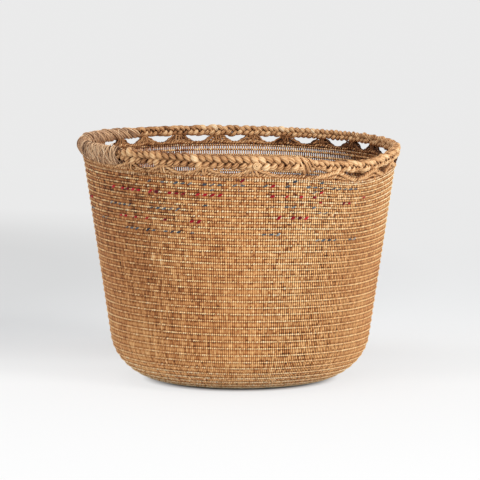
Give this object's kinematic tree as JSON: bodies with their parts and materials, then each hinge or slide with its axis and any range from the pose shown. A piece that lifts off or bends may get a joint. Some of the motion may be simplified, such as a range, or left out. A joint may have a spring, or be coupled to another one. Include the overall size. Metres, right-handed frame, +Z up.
{
  "type": "carrying basket",
  "caption": "Round carrying basket of twined split root, with leaning walls, a plaited rim braid on gathered ties, and remnants of red and blue wool.",
  "frame": {"origin": "centre of the flat bottom's underside", "axes": "+Z up through the mouth, -Y towards the front with the heavier braid and the wool, +X to the right seen from the front"},
  "size_m": [0.354, 0.3513, 0.2706],
  "materials": {
    "warp": "dry split root",
    "weft": "dry split root",
    "cord": "plaited and twisted root",
    "red_wool": "worn wool",
    "blue_wool": "worn wool"
  },
  "bodies": {
    "root": {"base_start": "warp", "warp_group_01": "warp", "warp_group_02": "warp", "warp_group_03": "warp", "warp_group_04": "warp", "warp_group_05": "warp", "warp_group_06": "warp", "warp_group_07": "warp", "warp_group_08": "warp", "base_weft": "weft", "weft_length_01": "weft", "weft_length_02": "weft", "weft_length_03": "weft", "weft_length_04": "weft", "weft_length_05": "weft", "weft_length_06": "weft", "weft_length_07": "weft", "weft_length_08": "weft", "weft_length_09": "weft", "weft_length_10": "weft", "blue_yarn_upper": "blue_wool", "blue_yarn_middle": "blue_wool", "blue_yarn_lower": "blue_wool", "red_yarn_upper": "red_wool", "red_yarn_lower": "red_wool", "lip_cord": "cord", "rim_tie_01": "cord", "rim_tie_02": "cord", "rim_tie_03": "cord", "rim_tie_04": "cord", "rim_tie_05": "cord", "rim_tie_06": "cord", "rim_tie_07": "cord", "rim_tie_08": "cord", "rim_tie_09": "cord", "rim_tie_10": "cord", "rim_tie_11": "cord", "rim_tie_12": "cord", "rim_tie_13": "cord", "rim_tie_14": "cord", "rim_tie_15": "cord", "rim_tie_16": "cord", "rim_tie_17": "cord", "rim_tie_18": "cord", "rim_tie_19": "cord", "front_braid_strand_a": "cord", "front_braid_strand_b": "cord", "front_braid_strand_c": "cord", "back_braid_strand_a": "cord", "back_braid_strand_b": "cord", "back_braid_strand_c": "cord", "lap_binding_left": "cord", "lap_binding_right": "cord"}
  },
  "joints": []
}
